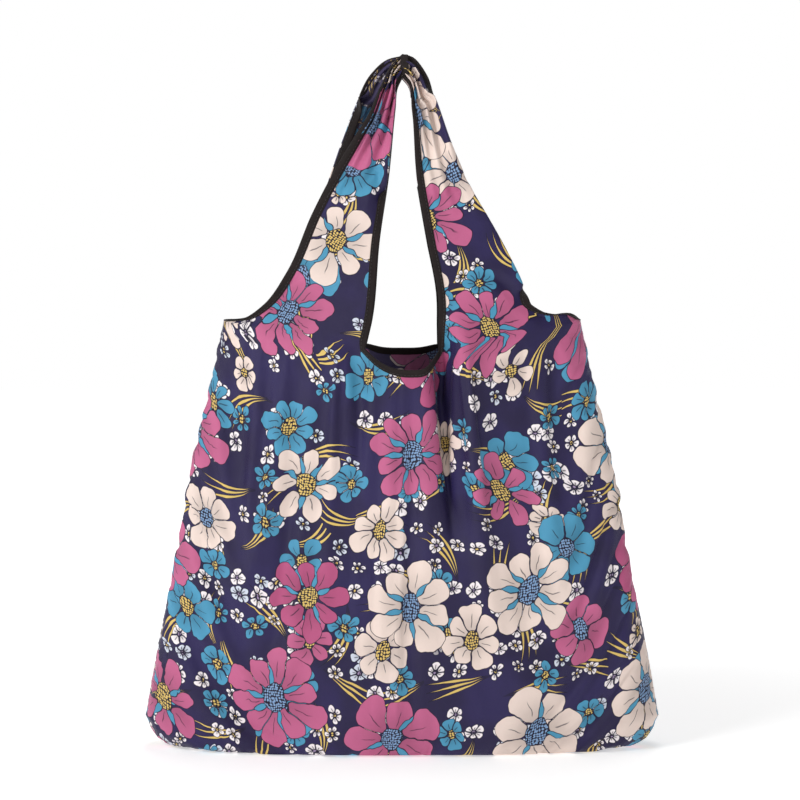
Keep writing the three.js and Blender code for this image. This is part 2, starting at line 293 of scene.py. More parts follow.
# The straps' edges from the shoulders to the top of the hoop, x and z in mm.
LEFT_OUTER = [(-169, 407), (-148, 409.5), (-130, 422), (-108, 451), (-83, 508), (-64, 545), (-44, 579),
              (-30, 602), (-21, 624), (-7, 650), (0, 656.5)]
LEFT_OUTER_BACK = [(-169, 407), (-148, 409.5), (-130, 422), (-108, 451), (-83, 508), (-57, 579), (-43, 615),
                   (-29, 640), (-14, 653), (0, 656.5)]
RIGHT_OUTER = [(169, 407), (158, 414), (143, 413.5), (122, 421), (114, 441), (84, 499), (67, 528), (48, 570),
               (31, 617), (21, 640), (9, 654), (0, 656.5)]
RIGHT_OUTER_BACK = [(169, 407), (148, 409.5), (126, 421), (104, 449), (78, 502), (52, 553), (33, 600),
                    (20, 634), (8, 652), (0, 656.5)]
LEFT_INNER = [(-34, 382), (-28.5, 411), (-22, 483), (-13, 544), (-6.5, 608), (-4, 628), (0, 636)]
RIGHT_INNER = [(34, 382), (33.5, 432), (24, 483), (14, 542), (9.5, 605), (6, 629), (0, 636)]
STRAP_EDGES = {(-1, -1): (LEFT_OUTER, LEFT_INNER), (-1, 1): (RIGHT_OUTER, RIGHT_INNER),
               (1, -1): (LEFT_OUTER_BACK, LEFT_INNER), (1, 1): (RIGHT_OUTER_BACK, RIGHT_INNER)}


def rolled(share, wide, height, side, hand):
    """How far across and out a row of a strap runs. Part of the way up, one edge rolls under."""
    roll_outer = ramp(height, 0.428, 0.45) * (1 - ramp(height, 0.605, 0.635)) if side * hand < 0 else 0
    roll_inner = ramp(height, 0.53, 0.56) * (1 - ramp(height, 0.63, 0.65)) if side * hand > 0 else 0
    flat = wide + ROLL_END * (roll_outer + roll_inner)
    turn = ROLL_TURN * roll_outer * (1 - ramp(share * flat, ROLL_START, ROLL_END))
    turn = turn - ROLL_TURN * roll_inner * ramp(share * flat, flat - ROLL_END, flat - ROLL_START)
    between = (turn[1:] + turn[:-1]) / 2
    along, stand = sums(np.cos(between)), sums(np.sin(between)) * flat / len(share)
    along = (along - along.min()) / (along.max() - along.min())
    return along, stand - stand[len(share) // 2]


def pleats(share, up, side, hand):
    """How far a gathered strap's pleats stand in and out across a row."""
    wave = np.sin(2 * np.pi * (4.5 * share + 0.35 * np.sin(2 * np.pi * share + hand)) + 0.7 * side * hand)
    second = np.sin(2 * np.pi * (7.3 * share + 0.11 * hand))
    window = ramp(share, 0.02, 0.2) * (1 - ramp(share, 0.8, 0.98))
    return (PLEAT * wave + FINE_PLEAT * second) * window * (1 - 0.25 * ramp(up, 0.93, 1))


def strap_root(top_row, hand):
    """The part of the body's top row that a strap grows from."""
    return top_row[:STRAP_COLUMNS + 1] if hand < 0 else top_row[-STRAP_COLUMNS - 1:]


def strap_grid(side, hand, body):
    """One strap, from the shoulder line up to the gathered top of the hoop. Columns run left to right."""
    outer, inner = (outline(knots, STRAP_ROWS + 1) for knots in STRAP_EDGES[side, hand])
    share = np.linspace(0, 1, 700)
    rows = []
    for k in range(STRAP_ROWS + 1):
        up = k / STRAP_ROWS
        wide = np.linalg.norm(inner[k] - outer[k])
        along, stand = rolled(share, wide, outer[k][1], side, hand)
        gather = ramp(up, 0.42, 1.0)
        x, z = (outer[k] + along[:, None] * (inner[k] - outer[k])).T
        stand = stand + gather * pleats(share, up, side, hand) + drape(side, x, z) * (1 - 0.5 * gather)
        point = np.stack([x, side * hull_depth(x, z), z], axis=1)
        point += hull_normal(side, x, z) * stand[:, None]
        rows.append(by_length(point, np.linspace(0, 1, STRAP_COLUMNS + 1)))
    grid = np.array(rows)
    if hand > 0:
        grid = grid[:, ::-1]
    settle = 1 - ramp(np.arange(STRAP_ROWS + 1) / STRAP_ROWS, 0, 0.10)
    return grid + settle[:, None, None] * (strap_root(body[-1], hand) - grid[0])


def flatten(grid, middle):
    """Each point's place on the flat cut cloth: across by arc length from the middle column."""
    step = np.linalg.norm(np.diff(grid, axis=1), axis=2)
    across = sums(step.T).T
    across -= across[:, middle:middle + 1]
    rise = np.linalg.norm(np.diff(grid, axis=0), axis=2)
    rise = np.sqrt(np.maximum(rise**2 - np.diff(across, axis=0) ** 2, (0.3 * rise) ** 2))
    return np.stack([across, sums(rise)], axis=2)


def flatten_strap(grid, root):
    """A strap's points on the flat cut cloth. root is where its first row lies on the flat body.

    Rows stay straight and turn by the angles measured along the middle column.
    """
    middle, reach = grid.shape[1] // 2, 12
    run = np.array([run_length(row) for row in grid])
    run -= run[:, middle:middle + 1]
    across = unit(grid[:, middle + reach] - grid[:, middle - reach])
    step = np.diff(grid[:, middle], axis=0)
    length = np.linalg.norm(step, axis=1)
    before = np.arccos(np.clip((across[:-1] * step).sum(axis=1) / length, -1, 1))
    after = np.arccos(np.clip((across[1:] * step).sum(axis=1) / length, -1, 1))
    start = math.atan2(*(root[-1] - root[0])[::-1])
    heading = start + sums(before - after)
    course = heading[:-1] + before
    moves = length[:, None] * np.stack([np.cos(course), np.sin(course)], axis=1)
    place = root[middle] + sums(moves)
    along = np.stack([np.cos(heading), np.sin(heading)], axis=1)
    flat = place[:, None] + run[:, :, None] * along[:, None]
    settle = 1 - ramp(np.arange(len(grid)) / len(grid), 0, 0.2)
    return flat + settle[:, None, None] * (root - flat[0])


# ---- Meshes ----
def grid_faces(rows, columns, start=0, flip=False):
    """The faces of a grid of points whose first point has the number start."""
    index = start + np.arange(rows * columns).reshape(rows, columns)
    corners = [index[:-1, :-1], index[:-1, 1:], index[1:, 1:], index[1:, :-1]]
    faces = np.stack(corners, axis=2).reshape(-1, 4)
    return faces[:, ::-1] if flip else faces


def tube_faces(rings, sides):
    """The faces around a tube of rings of points."""
    index = np.arange(rings * sides).reshape(rings, sides)
    after = np.roll(index, -1, axis=1)
    return np.stack([index[:-1], after[:-1], after[1:], index[1:]], axis=2).reshape(-1, 4)


def flat_places(run, across):
    """The places of a tape's points on the flat tape, from the distances along and across it."""
    return np.stack(np.broadcast_arrays(run[:, None], across[None, :]), axis=2).reshape(-1, 2)


def new_object(name, points, faces, materials, places=None):
    """A smooth mesh object. places, if given, are the points' places on the flat cloth."""
    mesh = bpy.data.meshes.new(name)
    mesh.from_pydata(np.asarray(points, float).tolist(), [], [list(map(int, f)) for f in faces])
    if places is not None:
        layer = mesh.uv_layers.new(name="Cut")
        corner = np.zeros(len(mesh.loops), int)
        mesh.loops.foreach_get("vertex_index", corner)
        layer.data.foreach_set("uv", np.asarray(places, float)[corner].astype(np.float32).ravel())
    for material in materials:
        mesh.materials.append(material)
    mesh.polygons.foreach_set("use_smooth", np.ones(len(mesh.polygons), bool))
    obj = bpy.data.objects.new(name, mesh)
    bpy.context.scene.collection.objects.link(obj)
    return obj


def edit_mesh(obj, change):
    """Runs change on an object's mesh, opened for editing."""
    bm = bmesh.new()
    bm.from_mesh(obj.data)
    change(bm)
    bm.to_mesh(obj.data)
    bm.free()


def merge_doubles(obj):
    edit_mesh(obj, lambda bm: bmesh.ops.remove_doubles(bm, verts=bm.verts, dist=0.01 * MM))


def face_out(obj):
    edit_mesh(obj, lambda bm: bmesh.ops.recalc_face_normals(bm, faces=bm.faces))


def thicken(obj, thickness, offset=-1, inside=0):
    """Gives a sheet its thickness. inside is added to the material index on its inner side."""
    solid = obj.modifiers.new("Thickness", "SOLIDIFY")
    solid.thickness = thickness
    solid.offset = offset
    solid.material_offset = inside
    solid.material_offset_rim = inside
    bpy.context.view_layer.update()
    shown = obj.evaluated_get(bpy.context.evaluated_depsgraph_get())
    obj.data = bpy.data.meshes.new_from_object(shown)
    obj.modifiers.clear()


def thin_piece(name, grid, places, material, thickness, offset=0):
    """A closed piece made from a grid of points."""
    piece = new_object(name, grid.reshape(-1, 3), grid_faces(*grid.shape[:2]), [material], places)
    thicken(piece, thickness, offset)
    face_out(piece)
    return piece


# ---- Simulation ----
def sewn_index(rows, columns):
    """The points of both grids by number, where a sewn pair at the base or a side has one number."""
    index = np.arange(2 * rows * columns).reshape(2, rows, columns)
    index[1, 0] = index[0, 0]
    index[1, :, 0] = index[0, :, 0]
    index[1, :, -1] = index[0, :, -1]
    return index.reshape(-1)


def held(row, column, rows, columns):
    """How firmly each point is held: fixed at the base and the top, firm at the sides, loose between."""
    to_side = np.minimum(column, columns - 1 - column)
    hold = np.where(row >= rows - 3, 1.0, 0.07 + 0.55 * (1 - ramp(to_side, 2, 16)))
    return np.where(row <= BASE_ROWS + 1, 1.0, hold)


def add_cloth(obj, hold):
    """Makes an object a soft thin cloth."""
    group = obj.vertex_groups.new(name="hold")
    for vertex, weight in enumerate(hold):
        group.add([vertex], float(weight), "REPLACE")
    cloth = obj.modifiers.new("Cloth", "CLOTH")
    cloth.settings.vertex_group_mass = "hold"
    for name, value in CLOTH_SETTINGS.items():
        setattr(cloth.settings, name, value)
    cloth.collision_settings.use_collision = False
    cloth.point_cache.frame_start = 1
    cloth.point_cache.frame_end = SIM_FRAMES


def settle_cloth(front, back):
    """Lets both body panels, sewn at the sides and the base, sag and crease a little under gravity."""
    points = np.concatenate([front.reshape(-1, 3), back.reshape(-1, 3)])
    rows, columns = front.shape[:2]
    faces = np.concatenate([grid_faces(rows, columns), grid_faces(rows, columns, rows * columns, True)])
    index = sewn_index(rows, columns)
    used, faces = np.unique(index[faces], return_inverse=True)
    sewn = new_object("sewn", points[used], faces.reshape(-1, 4), [])
    add_cloth(sewn, held(used // columns % rows, used % columns, rows, columns))
    scene = bpy.context.scene
    for number in range(1, SIM_FRAMES + 1):
        scene.frame_set(number)
    shown = sewn.evaluated_get(bpy.context.evaluated_depsgraph_get())
    settled = np.zeros(len(used) * 3, np.float32)
    shown.data.vertices.foreach_get("co", settled)
    points[used] = settled.reshape(-1, 3)
    points[:, 2] = np.maximum(points[:, 2], LEAST_HEIGHT)
    bpy.data.objects.remove(sewn)
    scene.frame_set(1)
    return points[index].reshape(2, rows, columns, 3)


def make_cloth(name, side, body, straps, materials):
    """The whole sheet of one face, body and both straps, with the size and area of its flat cut cloth."""
    flat_body = flatten(body, STRAP_COLUMNS + NECK_COLUMNS // 2)
    grids, places = [body], [flat_body]
    for hand, strap in zip((-1, 1), straps):
        grids.append(strap)
        places.append(flatten_strap(strap, strap_root(flat_body[-1], hand)))
    faces, start = [], 0
    for grid in grids:
        faces.append(grid_faces(*grid.shape[:2], start, side > 0))
        start += grid.shape[0] * grid.shape[1]
    points = np.concatenate([g.reshape(-1, 3) for g in grids])
    spread = np.concatenate([p.reshape(-1, 2) for p in places])
    print_shift = BACK_PRINT_SHIFT * (side > 0)
    obj = new_object(name, points, np.concatenate(faces), materials, spread + print_shift)
    merge_doubles(obj)
    thicken(obj, CLOTH, inside=1)
    return obj, np.ptp(spread, axis=0), sum(cloth_area(p) for p in places)


def cloth_area(flat):
    a = flat[1:, 1:] - flat[:-1, :-1]
    b = flat[1:, :-1] - flat[:-1, 1:]
    return float(np.abs(a[..., 0] * b[..., 1] - a[..., 1] * b[..., 0]).sum() / 2)


# ---- Tape bindings ----
def smooth_along(values, rounds):
    """Evens out values along a line, with its ends kept."""
    for _ in range(rounds):
        inner = (values[:-2] + 2 * values[1:-1] + values[2:]) / 4
        values = np.concatenate([values[:1], inner, values[-1:]])
    return values


def inward(lines, width):
    """Points at even distances up to width along each line, which runs from the cloth's edge inward."""
    at = np.linspace(0, width, 5)
    return np.array([points_at(line, run_length(line), at) for line in lines])


# A tape's section: how far in from the cloth's edge, as a share of its width, and how far off the cloth.
TAPE_FACE = [(1.0, 0.1), (0.97, 0.8), (0.9, 1.0), (0.72, 0.86), (0.4, 0.95), (0.12, 1.1), (-0.04, 0.8)]
TAPE_SECTION = [*TAPE_FACE, (-0.09, 0.0), *[(share, -stand) for share, stand in TAPE_FACE[::-1]]]
STITCH_SHARE = 0.72


def binding(name, inside_lines, outward, width, material, smoothing=3):
    """A tape folded over a cloth edge, with its stitching line and the cloth's normals along it.

    inside_lines has a row of points from the edge inward at each place.
    """
    edge = inside_lines[:, 0]
    run = run_length(edge)
    reach = smooth_along(inside_lines - inside_lines[:, :1], smoothing)
    normal = unit(smooth_along(outward, smoothing))
    away = -unit(reach[:, 1])
    depth = np.linspace(0, 1, reach.shape[1])

    def inside(share):
        return edge + np.array([points_at(line, depth, share) for line in reach])

    pucker = 1 + 0.16 * np.sin(run / (2.3 * MM)) * np.sin(run / (13 * MM) + 1)
    rings = []
    for share, stand in TAPE_SECTION:
        lift = normal * (stand * TAPE_HEIGHT * pucker)[:, None]
        rings.append(inside(max(share, 0)) + lift + away * (max(-share, 0) * width))
    grid = np.stack(rings, axis=1)
    count, size = grid.shape[:2]
    first, last = np.arange(size), np.arange(size) + (count - 1) * size
    faces = [*tube_faces(count, size), first[::-1], last]
    around = run_length(grid[count // 2])
    obj = new_object(name, grid.reshape(-1, 3), faces, [material], flat_places(run, around))
    face_out(obj)
    return obj, inside(STITCH_SHARE), normal


def stitches(name, rows, material):
    """Short thread stitches along lines on a tape, each a small bent rod. rows holds (line, normals)."""
    points, faces = [], []
    sides, rings = 5, 4
    angle = 2 * np.pi * np.arange(sides) / sides
    bend = 0.12 * MM * np.sin(np.pi * np.arange(rings) / (rings - 1))
    radius = STITCH_RADIUS * np.array([0.55, 1, 1, 0.55])
    ends = [np.arange(sides)[::-1], np.arange(sides) + (rings - 1) * sides]
    for line, normal in rows:
        run = run_length(line)
        for start in np.arange(STITCH_PITCH, run[-1] - STITCH_PITCH, STITCH_PITCH):
            at = start + np.linspace(0, 0.68 * STITCH_PITCH, rings)
            middle, up = points_at(line, run, at), points_at(normal, run, at)
            across = np.cross(up, unit(middle[-1] - middle[0]))
            base = sides * rings * len(points)
            high = STITCH_LIFT + bend[:, None] + radius[:, None] * np.sin(angle)
            wide = radius[:, None] * np.cos(angle)
            points.append(middle[:, None] + up[:, None] * high[..., None] + across[:, None] * wide[..., None])
            faces.extend([*(base + tube_faces(rings, sides)), *(base + end for end in ends)])
    return new_object(name, np.concatenate(points).reshape(-1, 3), faces, [material])


def grid_normals(grid, side):
    across = np.gradient(grid, axis=1)
    up = np.gradient(grid, axis=0)
    normal = np.cross(across, up) * (1 if side < 0 else -1)
    length = np.linalg.norm(normal, axis=2, keepdims=True)
    return normal / np.maximum(length, 1e-12)


def outer_edge(side, hand, strap):
    """Lines inward from a strap's outer edge, from the shoulder to the top, and the cloth's normals there."""
    normals = grid_normals(strap, side)
    if hand > 0:
        strap, normals = strap[:, ::-1], normals[:, ::-1]
    return inward(strap, TAPE_WIDTH), normals[:, 2]


def inner_edge(side, body, straps):
    """Lines inward from the left strap's inner edge, the neckline and the right strap's inner edge."""
    left, right = straps
    left_lines, left_normals = left[::-1, ::-1], grid_normals(left, side)[::-1, -3]
    right_lines, right_normals = right, grid_normals(right, side)[:, 2]
    neck = slice(STRAP_COLUMNS + 1, STRAP_COLUMNS + NECK_COLUMNS)
    neck_lines = body[::-1, neck].transpose(1, 0, 2)
    neck_normals = grid_normals(body, side)[-3, neck]
    lines = [inward(part, NECK_TAPE_WIDTH) for part in (left_lines, neck_lines, right_lines)]
    return np.concatenate(lines), np.concatenate([left_normals, neck_normals, right_normals])


def bind_face(face, side, body, straps, cloth, tape, black_thread):
    """All the tape and stitching of one face."""
    pieces, rows = [], []
    for hand, word, strap in ((-1, "left", straps[0]), (1, "right", straps[1])):
        lines, normals = outer_edge(side, hand, strap)
        piece, line, up = binding(f"{face}_{word}_edge_tape", lines, normals, TAPE_WIDTH, tape)
        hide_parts(f"{face}_{word}_shoulder_binding", f"{face}_handle_outer_binding")
        pieces.append(piece)
        rows.append((line, up))
    lines, normals = inner_edge(side, body, straps)
    piece, line, up = binding(f"{face}_neck_tape", lines, normals, NECK_TAPE_WIDTH, tape, smoothing=5)
    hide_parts(f"{face}_neck_binding", f"{face}_handle_inner_binding")
    pieces.append(piece)
    rows.append((line, up))
    pieces.append(stitches(f"{face}_edge_stitches", rows, black_thread))
    low_end, high_end = (0, 0, HINGE_HEIGHT - BEND_REACH), (0, 0, HINGE_HEIGHT + BEND_REACH)
    for piece in [*pieces, cloth]:
        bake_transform(piece)


def top_sleeve(face, material):
    """The short tape wrapped around the gathered cloth at the top of a hoop."""
    low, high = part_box(f"{face}_handle_tape")
    middle = (low + high) / 2
    half_high = (high.z - low.z) / 2 - 0.6 * MM
    half_deep = min((high.y - low.y) / 2, 6.2 * MM)
    width = 7 * MM
    columns, around = 13, 72
    angle = np.linspace(0, 2 * math.pi, around, endpoint=False)
    points = []
    for across in np.linspace(-1, 1, columns):
        edge = 1 - 0.10 * abs(across) ** 6
        lump = 1 + 0.07 * np.sin(3 * angle + 2 * across) + 0.04 * np.sin(7 * angle)
        x = middle.x + 2.5 * MM + across * width / 2 + 0.5 * MM * np.sin(2 * angle)
        y = middle.y + half_deep * edge * lump * np.sign(np.cos(angle)) * np.abs(np.cos(angle)) ** 0.8
        z = middle.z + half_high * edge * np.sign(np.sin(angle)) * np.abs(np.sin(angle)) ** 0.8
        points.append(np.stack([x, y, z], axis=1))
    faces = tube_faces(columns, around)
    places = flat_places(np.arange(columns) * width / columns, angle * 10 * MM)
    piece = new_object(f"{face}_top_sleeve", np.concatenate(points), faces, [material], places)
    thicken(piece, 0.7 * MM)
    face_out(piece)
    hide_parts(f"{face}_handle_tape")
    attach(piece, f"{face}_handle")


def fin(name, node, path, direction, material):
    """A seam allowance bound with tape, standing off a seam line inside the bag, a little wavy."""
    direction = np.array(direction, float)
    run = run_length(path)
    flat = unit(np.cross(unit(np.gradient(path, axis=0)), direction))
    across = np.linspace(0, 1, 6)
    rows = []
    for share in across:
        sway = 0.9 * MM * share**2 * np.sin(run / (19 * MM)) + 0.25 * MM * share * np.sin(run / (4.1 * MM))
        rows.append(path + direction * (share * SEAM_FIN) + flat * sway[:, None])
    grid = np.stack(rows, axis=1)
    places = flat_places(run, across * SEAM_FIN)
    piece = thin_piece(name, grid, places, material, SEAM_THICKNESS)
    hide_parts(node)
    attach(piece, "bag")


# ---- Pattern arithmetic ----
def put(socket, value):
    """Joins a Field to a socket, or sets the socket to a constant."""
    if isinstance(value, Field):
        socket.id_data.links.new(value.socket, socket)
    else:
        socket.default_value = value


def add_node(tree, kind, inputs, **settings):
    """A shader node with its settings and inputs."""
    node = tree.nodes.new("ShaderNode" + kind)
    for name, value in settings.items():
        setattr(node, name, value)
    for name, value in inputs.items():
        put(node.inputs[name], value)
    return node


class Field:
    """A value, vector or colour that varies over a surface, made of shader nodes."""

    def __init__(self, node, output=0):
        self.socket = node.outputs[output]
        self.tree = self.socket.id_data

    def apply(self, operation, *others, kind="Math"):
        return Field(add_node(self.tree, kind, dict(enumerate((self, *others))), operation=operation))

    def __add__(self, other):
        return self.apply("ADD", other)

    __radd__ = __add__

    def __sub__(self, other):
        return self.apply("SUBTRACT", other)

    def __rsub__(self, other):
        return self * -1 + other

    def __mul__(self, other):
        return self.apply("MULTIPLY", other)

    def __truediv__(self, other):
        return self.apply("DIVIDE", other)

    def __rtruediv__(self, other):
        return Field(add_node(self.tree, "Math", {0: other, 1: self}, operation="DIVIDE"))

    def squared(self):
        return self * self

    def step(self, low, high):
        """0 at low, 1 at high, smooth between. low may be the larger."""
        inputs = {"Value": self, "From Min": low, "From Max": high}
        return Field(add_node(self.tree, "MapRange", inputs, interpolation_type="SMOOTHSTEP"))

    def parts(self):
        """The three parts of a vector or a colour."""
        node = add_node(self.tree, "SeparateXYZ", {0: self})
        return [Field(node, k) for k in range(3)]


def colour(code):
    """A linear colour from a hex code as seen on screen."""
    parts = [int(code[k:k + 2], 16) / 255 for k in (0, 2, 4)]
    return (*[p / 12.92 if p < 0.04045 else ((p + 0.055) / 1.055) ** 2.4 for p in parts], 1)


def mix(factor, low, high, blend="MIX"):
    tree = next(value.tree for value in (factor, low, high) if isinstance(value, Field))
    return Field(add_node(tree, "Mix", {0: factor, 6: low, 7: high}, data_type="RGBA", blend_type=blend), 2)


def noise(place, size, detail=2.0, rough=0.5):
    """Soft random values about 0.5, size metres across."""
    inputs = {"Vector": place, "Scale": 1 / size, "Detail": detail, "Roughness": rough}
    return Field(add_node(place.tree, "TexNoise", inputs, noise_dimensions="2D"))


def cells(place, spacing, jitter):
    """A node that finds the nearest point of a loose grid."""
    inputs = {"Vector": place, "Scale": 1 / spacing, "Randomness": jitter}
    return add_node(place.tree, "TexVoronoi", inputs, voronoi_dimensions="2D")


def scatter(place, spacing, jitter, shift):
    """The nearest point of a loose grid, how far right and up of it we are, and its random values."""
    moved = place.apply("ADD", (*shift, 0), kind="VectorMath")
    node = cells(moved, spacing, jitter)
    centre = Field(node, "Position")
    right, up, _ = moved.apply("SUBTRACT", centre, kind="VectorMath").parts()
    return centre, right, up, Field(node, "Color").parts()


def pick(chance, codes):
    """One of several colours, each with the chance that it starts at."""
    node = add_node(chance.tree, "ValToRGB", {0: chance})
    node.color_ramp.interpolation = "CONSTANT"
    while len(node.color_ramp.elements) < len(codes):
        node.color_ramp.elements.new(0.5)
    for element, (start, code) in zip(node.color_ramp.elements, codes):
        element.position = start
        element.color = colour(code)
    return Field(node)


# ---- Print ----
INK = colour("181229")
GROUND = colour("231b41")
GROUND_PALE = colour("2a2250")
HAZE = colour("5c5470")
PINK = "bd6088"
DEEP_PINK = "b2527c"
CREAM = "e6d3c9"
BLUE = "4a93b5"
BEAD_BLUE = "7d9dc4"
YELLOW = "dcbd6c"
WHITE = "f0e8ea"
COOL_WHITE = "cfd5e2"
MAUVE = "9a86a8"
LINE = 0.75 * MM
BEAD_PITCH = 2.5 * MM
STEM_SPACING = 58 * MM
STEM_HALF_LENGTH = 27 * MM
STEM_HALF_WIDTH = 1.3 * MM

# Layers of flowers, the lowest first. tips and hearts are colours, each with the chance that it starts at.
FLOWERS = [
    dict(spacing=19.5 * MM, jitter=0.42, shift=(0.009, 0.004), radius=(7.5 * MM, 10 * MM), petals=(5, 6),
         centre=0.18, tips=[(0, WHITE), (0.8, COOL_WHITE)], hearts=[(0, YELLOW), (0.6, MAUVE)],
         fullness=1.15, rarity=0.15, clusters=46 * MM),
    dict(spacing=46 * MM, jitter=0.55, shift=(0.013, 0.029), radius=(12 * MM, 19 * MM), petals=(5, 7),
         centre=0.22, tips=[(0, BLUE), (0.85, CREAM)], hearts=[(0, YELLOW)], fullness=1.1, rarity=0.42),
    dict(spacing=86 * MM, jitter=0.55, shift=(0.045, 0.03), radius=(24 * MM, 36 * MM), petals=(5, 8),
         centre=0.24, tips=[(0, BLUE), (0.34, CREAM), (0.62, BLUE), (0.82, PINK)],
         hearts=[(0, YELLOW), (0.75, BEAD_BLUE)], fullness=1.12, rarity=0.2),
    dict(spacing=117 * MM, jitter=0.4, shift=(0.017, 0.052), radius=(40 * MM, 52 * MM), petals=(7, 10),
         centre=0.23, tips=[(0, PINK), (0.46, CREAM), (0.86, DEEP_PINK)],
         hearts=[(0, YELLOW), (0.55, BEAD_BLUE)], fullness=1.06, slivers=True),
]


def beads(place, code):
    """Packed round beads on ink."""
    return mix(Field(cells(place, BEAD_PITCH, 0.4), "Distance").step(0.44, 0.34), INK, code)


def inked(under, inside, fill, soft, shown, line=LINE):
    """Paints fill where inside is above zero, with an ink line around it, where shown is 1."""
    outlined = mix((inside + line).step(0.0, soft) * shown, under, INK)
    return mix(inside.step(0.0, soft) * shown, outlined, fill)


def petal(tips, out, wide, inside, long, share, number, chance):
    """The colour of a petal: darker towards the heart, with a drawn crease and an ink edge."""
    toned = pick(chance[0], tips)
    toned = mix(1.0, toned, share.step(0.15, 0.9) * 0.30 + 0.74, "MULTIPLY")
    tilt = (number * 5.1 + chance[2] * 30).apply("SINE") * 0.07
    fold = (wide - tilt * (out - 0.3)).apply("ABSOLUTE") * long
    crease = fold.step(LINE * 0.8, LINE * 0.35) * share.step(0.34, 0.40) * share.step(0.74, 0.62)
    toned = mix(crease * 0.75, toned, INK)
    return mix(inside.step(LINE * 1.15, LINE * 0.65), toned, INK)


def flower_layer(place, under, spacing, jitter, shift, radius, petals, centre, tips, hearts, fullness,
                 rarity=0.0, clusters=None, slivers=False):
    """Draws flowers over the colour under.

    radius and petals are (least, most), centre is a share of the radius, fullness is how much of its sector
    a petal fills and rarity is the share of places left empty. clusters is the size of the patches that the
    flowers keep to, if any, and slivers adds narrow blue petals between the others.
    """
    middle, right, up, chance = scatter(place, spacing, jitter, shift)
    reach = (right * right + up * up).apply("SQRT")
    size = chance[2] * (radius[1] - radius[0]) + radius[0]
    count = (chance[1] * (petals[1] - petals[0] + 0.999) + petals[0]).apply("FLOOR")
    sector = 2 * math.pi / count
    turn = up.apply("ARCTAN2", right) / sector + chance[0] * 7
    number = turn.apply("FLOOR").apply("FLOORED_MODULO", count)
    side = turn.apply("FRACT") - 0.5
    long = size * ((number * 2.4 + chance[0] * 40).apply("SINE") * 0.11 + 0.89)
    angle = side * sector
    share = reach / long
    out = angle.apply("COSINE") * share
    wide = angle.apply("SINE") * share
    half = (sector * 0.5).apply("SINE") * (chance[2] * 0.26 + 0.49) * fullness * (out * 0.9 + 0.44)
    oval = (((out - 0.61) / 0.39).squared() + (wide / half).squared()).apply("SQRT")
    to_side = (0.5 - side.apply("ABSOLUTE")) * sector * reach
    inside = ((1 - oval) * half * long).apply("MINIMUM", to_side)
    shown = chance[1].step(rarity - 0.001, rarity) if rarity else 1.0
    if clusters:
        shown = noise(middle, clusters, 0.0).step(0.465, 0.466) * shown
    toned = petal(tips, out, wide, inside, long, share, number, chance)
    result = mix(inside.step(0.0, 0.25 * MM) * shown, under, toned)
    if slivers:
        between = (turn + 0.5).apply("FLOOR").apply("FLOORED_MODULO", count)
        some = (between * 3.7 + chance[0] * 50).apply("SINE").step(-0.15, -0.1) * shown
        bulge = 1 - ((share - 0.42) / 0.2).squared()
        result = inked(result, bulge * 2.6 * MM - to_side, colour(BLUE), 0.25 * MM, some)
    heart = size * centre - (right * right * 1.25 + up * up * 0.8).apply("SQRT")
    return inked(result, heart, beads(place, pick(chance[2], hearts)), 0.3 * MM, shown)


def stem_layer(place, under):
    """Groups of three tapering curved stems with dark outlines."""
    _, right, up, chance = scatter(place, STEM_SPACING, 0.8, (0.031, 0.017))
    angle = chance[0] * (2 * math.pi)
    cosine, sine = angle.apply("COSINE"), angle.apply("SINE")
    along = right * cosine + up * sine
    across = up * cosine - right * sine
    level = across - along * along * ((chance[1] - 0.5) * 34)
    apart = (4.6 + along / (8 * MM)) * MM
    near = (level / apart + 0.5).apply("FRACT") * apart - apart * 0.5
    taper = 1 - along.apply("ABSOLUTE") / STEM_HALF_LENGTH
    group = (level.apply("ABSOLUTE") / apart).step(1.5, 1.49)
    inside = taper * STEM_HALF_WIDTH - near.apply("ABSOLUTE")
    return inked(under, inside, colour(YELLOW), 0.2 * MM, group, 0.5 * MM)


def cloth_print(place):
    """A generic all-over print of daisies, small blossoms and stems on dark purple."""
    other = place.apply("ADD", (0.37, 0.21, 0), kind="VectorMath")
    wobble = [(noise(spot, 26 * MM) - 0.5) * 10 * MM for spot in (place, other)]
    shift = Field(add_node(place.tree, "CombineXYZ", dict(enumerate(wobble))))
    drawn_place = place.apply("ADD", shift, kind="VectorMath")
    drawn = stem_layer(place, mix(noise(place, 60 * MM).step(0.35, 0.65), GROUND, GROUND_PALE))
    for layer in FLOWERS:
        drawn = flower_layer(drawn_place, drawn, **layer)
    return drawn


# ---- Materials ----
def new_material(name):
    """A fresh material with its node tree and its shader."""
    material = bpy.data.materials.new(name)
    material.use_nodes = True
    tree = material.node_tree
    shader = next(n for n in tree.nodes if n.type == "BSDF_PRINCIPLED")
    return material, tree, shader


def cut_place(tree):
    """Where a point lies on the flat cut cloth, in metres."""
    return Field(add_node(tree, "UVMap", {}, uv_map="Cut"))


def bumped(shader, height, distance):
    """Lets a height show as relief."""
    relief = add_node(height.tree, "Bump", {"Height": height, "Distance": distance})
    put(shader.inputs["Normal"], Field(relief))


def ridged(field, pitch):
    return (field * (2 * math.pi / pitch)).apply("SINE")


def finish(shader, sheen, sheen_roughness, specular):
    """How a cloth's surface shines, set straight on the shader. Set straight on the shader, because
    linked values are lost on export.
    """
    shader.inputs["Sheen Weight"].default_value = sheen
    shader.inputs["Sheen Roughness"].default_value = sheen_roughness
    shader.inputs["Specular IOR Level"].default_value = specular


def paler(code, factor, lift):
    """A colour somewhat brighter than a hex code's."""
    return (*[c * factor + lift for c in colour(code)[:3]], 1)


